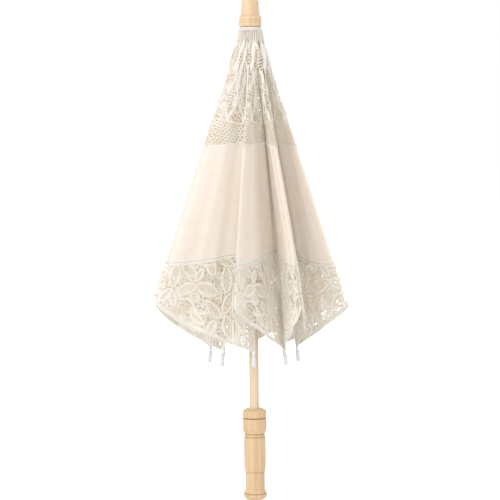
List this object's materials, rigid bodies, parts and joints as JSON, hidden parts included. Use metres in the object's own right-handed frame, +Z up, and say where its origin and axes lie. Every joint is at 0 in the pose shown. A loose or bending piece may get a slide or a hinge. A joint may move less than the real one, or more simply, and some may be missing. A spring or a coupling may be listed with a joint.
{
  "type": "lace parasol",
  "caption": "Folded lace parasol with a turned wooden handle and ferrule, hinged ribs and stretchers, a sliding runner and a scalloped lace and cotton canopy.",
  "frame": {"origin": "centre of the handle's flat end face, the face an umbrella stand or a hand holds up", "axes": "+Z up the shaft from the handle to the ferrule, -Y towards the side seen first, +X to its right"},
  "size_m": [0.2513, 0.295, 0.65],
  "materials": {
    "handle_wood": "light hardwood, thin satin varnish",
    "shaft_wood": "pale straight-grained wood, satin",
    "ferrule_wood": "light hardwood, thin satin varnish",
    "white_metal": "white enamel on steel",
    "steel": "plain wire steel",
    "tip_plastic": "white moulded plastic",
    "lace_cotton": "cream cotton cloth and tape lace"
  },
  "bodies": {
    "shaft": {"shaft": "shaft_wood", "handle": "handle_wood", "ferrule": "ferrule_wood", "canopy_rosette": "lace_cotton", "top_notch": "white_metal", "notch_wire": "steel", "stop_pin": "steel"},
    "runner": {"runner": "white_metal", "runner_wire": "steel"},
    "top_catch": {"top_catch": "steel"},
    "rib_1": {"rib_1": "white_metal", "rib_tip_1": "tip_plastic", "rivet_1": "steel"},
    "rib_2": {"rib_2": "white_metal", "rib_tip_2": "tip_plastic", "rivet_2": "steel"},
    "rib_3": {"rib_3": "white_metal", "rib_tip_3": "tip_plastic", "rivet_3": "steel"},
    "rib_4": {"rib_4": "white_metal", "rib_tip_4": "tip_plastic", "rivet_4": "steel"},
    "rib_5": {"rib_5": "white_metal", "rib_tip_5": "tip_plastic", "rivet_5": "steel"},
    "rib_6": {"rib_6": "white_metal", "rib_tip_6": "tip_plastic", "rivet_6": "steel"},
    "rib_7": {"rib_7": "white_metal", "rib_tip_7": "tip_plastic", "rivet_7": "steel"},
    "rib_8": {"rib_8": "white_metal", "rib_tip_8": "tip_plastic", "rivet_8": "steel"},
    "stretcher_1": {"stretcher_1": "white_metal"},
    "stretcher_2": {"stretcher_2": "white_metal"},
    "stretcher_3": {"stretcher_3": "white_metal"},
    "stretcher_4": {"stretcher_4": "white_metal"},
    "stretcher_5": {"stretcher_5": "white_metal"},
    "stretcher_6": {"stretcher_6": "white_metal"},
    "stretcher_7": {"stretcher_7": "white_metal"},
    "stretcher_8": {"stretcher_8": "white_metal"},
    "gore_1_left": {"gore_1_left": "lace_cotton"},
    "gore_1_right": {"gore_1_right": "lace_cotton"},
    "gore_2_left": {"gore_2_left": "lace_cotton"},
    "gore_2_right": {"gore_2_right": "lace_cotton"},
    "gore_3_left": {"gore_3_left": "lace_cotton"},
    "gore_3_right": {"gore_3_right": "lace_cotton"},
    "gore_4_left": {"gore_4_left": "lace_cotton"},
    "gore_4_right": {"gore_4_right": "lace_cotton"},
    "gore_5_left": {"gore_5_left": "lace_cotton"},
    "gore_5_right": {"gore_5_right": "lace_cotton"},
    "gore_6_left": {"gore_6_left": "lace_cotton"},
    "gore_6_right": {"gore_6_right": "lace_cotton"},
    "gore_7_left": {"gore_7_left": "lace_cotton"},
    "gore_7_right": {"gore_7_right": "lace_cotton"},
    "gore_8_left": {"gore_8_left": "lace_cotton"},
    "gore_8_right": {"gore_8_right": "lace_cotton"}
  },
  "joints": [
    {"name": "top_catch_press", "type": "hinge", "parent": "shaft", "child": "top_catch", "pos_m": [0.00134, -0.00323, 0.34224], "axis": [-0.9239, -0.3827, 0], "range_deg": [0, 8], "stiffness_Nm_per_rad": 0.02, "springref_deg": -5.73},
    {"name": "rib_1_hinge", "type": "hinge", "parent": "shaft", "child": "rib_1", "pos_m": [0, -0.0094, 0.6099], "axis": [-1, 0, 0], "range_deg": [0, 45.5], "deforming": ["gore_1_left", "gore_1_right", "gore_2_left", "gore_2_right", "gore_3_left", "gore_3_right", "gore_4_left", "gore_4_right", "gore_5_left", "gore_5_right", "gore_6_left", "gore_6_right", "gore_7_left", "gore_7_right", "gore_8_left", "gore_8_right", "top_catch"]},
    {"name": "stretcher_1_hinge", "type": "hinge", "parent": "rib_1", "child": "stretcher_1", "pos_m": [0, -0.02842, 0.44298], "axis": [-1, 0, 0], "range_deg": [-91, 0]},
    {"name": "runner_pivot", "type": "hinge", "parent": "stretcher_1", "child": "runner", "pos_m": [0, -0.0094, 0.27606], "axis": [-1, 0, 0], "range_deg": [0, 45.5]},
    {"name": "rib_2_hinge", "type": "hinge", "parent": "shaft", "child": "rib_2", "pos_m": [0.00665, -0.00665, 0.6099], "axis": [-0.7071, -0.7071, 0], "range_deg": [0, 45.5]},
    {"name": "stretcher_2_hinge", "type": "hinge", "parent": "rib_2", "child": "stretcher_2", "pos_m": [0.02009, -0.02009, 0.44298], "axis": [-0.7071, -0.7071, 0], "range_deg": [-91, 0]},
    {"name": "rib_3_hinge", "type": "hinge", "parent": "shaft", "child": "rib_3", "pos_m": [0.0094, 0, 0.6099], "axis": [0, -1, 0], "range_deg": [0, 45.5]},
    {"name": "stretcher_3_hinge", "type": "hinge", "parent": "rib_3", "child": "stretcher_3", "pos_m": [0.02842, 0, 0.44298], "axis": [0, -1, 0], "range_deg": [-91, 0]},
    {"name": "rib_4_hinge", "type": "hinge", "parent": "shaft", "child": "rib_4", "pos_m": [0.00665, 0.00665, 0.6099], "axis": [0.7071, -0.7071, 0], "range_deg": [0, 45.5]},
    {"name": "stretcher_4_hinge", "type": "hinge", "parent": "rib_4", "child": "stretcher_4", "pos_m": [0.02009, 0.02009, 0.44298], "axis": [0.7071, -0.7071, 0], "range_deg": [-91, 0]},
    {"name": "rib_5_hinge", "type": "hinge", "parent": "shaft", "child": "rib_5", "pos_m": [0, 0.0094, 0.6099], "axis": [1, 0, 0], "range_deg": [0, 45.5]},
    {"name": "stretcher_5_hinge", "type": "hinge", "parent": "rib_5", "child": "stretcher_5", "pos_m": [0, 0.02842, 0.44298], "axis": [1, 0, 0], "range_deg": [-91, 0]},
    {"name": "rib_6_hinge", "type": "hinge", "parent": "shaft", "child": "rib_6", "pos_m": [-0.00665, 0.00665, 0.6099], "axis": [0.7071, 0.7071, 0], "range_deg": [0, 45.5]},
    {"name": "stretcher_6_hinge", "type": "hinge", "parent": "rib_6", "child": "stretcher_6", "pos_m": [-0.02009, 0.02009, 0.44298], "axis": [0.7071, 0.7071, 0], "range_deg": [-91, 0]},
    {"name": "rib_7_hinge", "type": "hinge", "parent": "shaft", "child": "rib_7", "pos_m": [-0.0094, 0, 0.6099], "axis": [0, 1, 0], "range_deg": [0, 45.5]},
    {"name": "stretcher_7_hinge", "type": "hinge", "parent": "rib_7", "child": "stretcher_7", "pos_m": [-0.02842, 0, 0.44298], "axis": [0, 1, 0], "range_deg": [-91, 0]},
    {"name": "rib_8_hinge", "type": "hinge", "parent": "shaft", "child": "rib_8", "pos_m": [-0.00665, -0.00665, 0.6099], "axis": [-0.7071, 0.7071, 0], "range_deg": [0, 45.5]},
    {"name": "stretcher_8_hinge", "type": "hinge", "parent": "rib_8", "child": "stretcher_8", "pos_m": [-0.02009, -0.02009, 0.44298], "axis": [-0.7071, 0.7071, 0], "range_deg": [-91, 0]},
    {"name": "gore_1_left_fold", "type": "hinge", "parent": "rib_1", "child": "gore_1_left", "pos_m": [0, -0.0094, 0.6099], "axis": [0, -0.1132, -0.9936], "range_deg": [-118.35, 0]},
    {"name": "gore_1_right_fold", "type": "hinge", "parent": "rib_2", "child": "gore_1_right", "pos_m": [0.00665, -0.00665, 0.6099], "axis": [0.08, -0.08, -0.9936], "range_deg": [0, 31.81]},
    {"name": "gore_2_left_fold", "type": "hinge", "parent": "rib_2", "child": "gore_2_left", "pos_m": [0.00665, -0.00665, 0.6099], "axis": [0.08, -0.08, -0.9936], "range_deg": [-134.82, 0]},
    {"name": "gore_2_right_fold", "type": "hinge", "parent": "rib_3", "child": "gore_2_right", "pos_m": [0.0094, 0, 0.6099], "axis": [0.1132, 0, -0.9936], "range_deg": [0, 19.06]},
    {"name": "gore_3_left_fold", "type": "hinge", "parent": "rib_3", "child": "gore_3_left", "pos_m": [0.0094, 0, 0.6099], "axis": [0.1132, 0, -0.9936], "range_deg": [-148.25, 0]},
    {"name": "gore_3_right_fold", "type": "hinge", "parent": "rib_4", "child": "gore_3_right", "pos_m": [0.00665, 0.00665, 0.6099], "axis": [0.08, 0.08, -0.9936], "range_deg": [0, 9.08]},
    {"name": "gore_4_left_fold", "type": "hinge", "parent": "rib_4", "child": "gore_4_left", "pos_m": [0.00665, 0.00665, 0.6099], "axis": [0.08, 0.08, -0.9936], "range_deg": [-115.38, 0]},
    {"name": "gore_4_right_fold", "type": "hinge", "parent": "rib_5", "child": "gore_4_right", "pos_m": [0, 0.0094, 0.6099], "axis": [0, 0.1132, -0.9936], "range_deg": [0, 34.2]},
    {"name": "gore_5_left_fold", "type": "hinge", "parent": "rib_5", "child": "gore_5_left", "pos_m": [0, 0.0094, 0.6099], "axis": [0, 0.1132, -0.9936], "range_deg": [-118.35, 0]},
    {"name": "gore_5_right_fold", "type": "hinge", "parent": "rib_6", "child": "gore_5_right", "pos_m": [-0.00665, 0.00665, 0.6099], "axis": [-0.08, 0.08, -0.9936], "range_deg": [0, 31.81]},
    {"name": "gore_6_left_fold", "type": "hinge", "parent": "rib_6", "child": "gore_6_left", "pos_m": [-0.00665, 0.00665, 0.6099], "axis": [-0.08, 0.08, -0.9936], "range_deg": [-118.35, 0]},
    {"name": "gore_6_right_fold", "type": "hinge", "parent": "rib_7", "child": "gore_6_right", "pos_m": [-0.0094, 0, 0.6099], "axis": [-0.1132, 0, -0.9936], "range_deg": [0, 31.81]},
    {"name": "gore_7_left_fold", "type": "hinge", "parent": "rib_7", "child": "gore_7_left", "pos_m": [-0.0094, 0, 0.6099], "axis": [-0.1132, 0, -0.9936], "range_deg": [-137.81, 0]},
    {"name": "gore_7_right_fold", "type": "hinge", "parent": "rib_8", "child": "gore_7_right", "pos_m": [-0.00665, -0.00665, 0.6099], "axis": [-0.08, -0.08, -0.9936], "range_deg": [0, 16.8]},
    {"name": "gore_8_left_fold", "type": "hinge", "parent": "rib_8", "child": "gore_8_left", "pos_m": [-0.00665, -0.00665, 0.6099], "axis": [-0.08, -0.08, -0.9936], "range_deg": [-118.35, 0]},
    {"name": "gore_8_right_fold", "type": "hinge", "parent": "rib_1", "child": "gore_8_right", "pos_m": [0, -0.0094, 0.6099], "axis": [0, -0.1132, -0.9936], "range_deg": [0, 31.81]}
  ],
  "couplings": [
    {"joint": "stretcher_1_hinge", "follows": "rib_1_hinge", "ratio": -2},
    {"joint": "runner_pivot", "follows": "rib_1_hinge", "ratio": 1},
    {"joint": "rib_2_hinge", "follows": "rib_1_hinge", "ratio": 1},
    {"joint": "stretcher_2_hinge", "follows": "rib_1_hinge", "ratio": -2},
    {"joint": "rib_3_hinge", "follows": "rib_1_hinge", "ratio": 1},
    {"joint": "stretcher_3_hinge", "follows": "rib_1_hinge", "ratio": -2},
    {"joint": "rib_4_hinge", "follows": "rib_1_hinge", "ratio": 1},
    {"joint": "stretcher_4_hinge", "follows": "rib_1_hinge", "ratio": -2},
    {"joint": "rib_5_hinge", "follows": "rib_1_hinge", "ratio": 1},
    {"joint": "stretcher_5_hinge", "follows": "rib_1_hinge", "ratio": -2},
    {"joint": "rib_6_hinge", "follows": "rib_1_hinge", "ratio": 1},
    {"joint": "stretcher_6_hinge", "follows": "rib_1_hinge", "ratio": -2},
    {"joint": "rib_7_hinge", "follows": "rib_1_hinge", "ratio": 1},
    {"joint": "stretcher_7_hinge", "follows": "rib_1_hinge", "ratio": -2},
    {"joint": "rib_8_hinge", "follows": "rib_1_hinge", "ratio": 1},
    {"joint": "stretcher_8_hinge", "follows": "rib_1_hinge", "ratio": -2},
    {"joint": "gore_1_left_fold", "follows": "rib_1_hinge", "ratio": -2.6011},
    {"joint": "gore_1_right_fold", "follows": "rib_1_hinge", "ratio": 0.69917},
    {"joint": "gore_2_left_fold", "follows": "rib_1_hinge", "ratio": -2.963},
    {"joint": "gore_2_right_fold", "follows": "rib_1_hinge", "ratio": 0.41884},
    {"joint": "gore_3_left_fold", "follows": "rib_1_hinge", "ratio": -3.2581},
    {"joint": "gore_3_right_fold", "follows": "rib_1_hinge", "ratio": 0.19945},
    {"joint": "gore_4_left_fold", "follows": "rib_1_hinge", "ratio": -2.5357},
    {"joint": "gore_4_right_fold", "follows": "rib_1_hinge", "ratio": 0.75159},
    {"joint": "gore_5_left_fold", "follows": "rib_1_hinge", "ratio": -2.6011},
    {"joint": "gore_5_right_fold", "follows": "rib_1_hinge", "ratio": 0.69917},
    {"joint": "gore_6_left_fold", "follows": "rib_1_hinge", "ratio": -2.6011},
    {"joint": "gore_6_right_fold", "follows": "rib_1_hinge", "ratio": 0.69917},
    {"joint": "gore_7_left_fold", "follows": "rib_1_hinge", "ratio": -3.0289},
    {"joint": "gore_7_right_fold", "follows": "rib_1_hinge", "ratio": 0.36931},
    {"joint": "gore_8_left_fold", "follows": "rib_1_hinge", "ratio": -2.6011},
    {"joint": "gore_8_right_fold", "follows": "rib_1_hinge", "ratio": 0.69917}
  ]
}
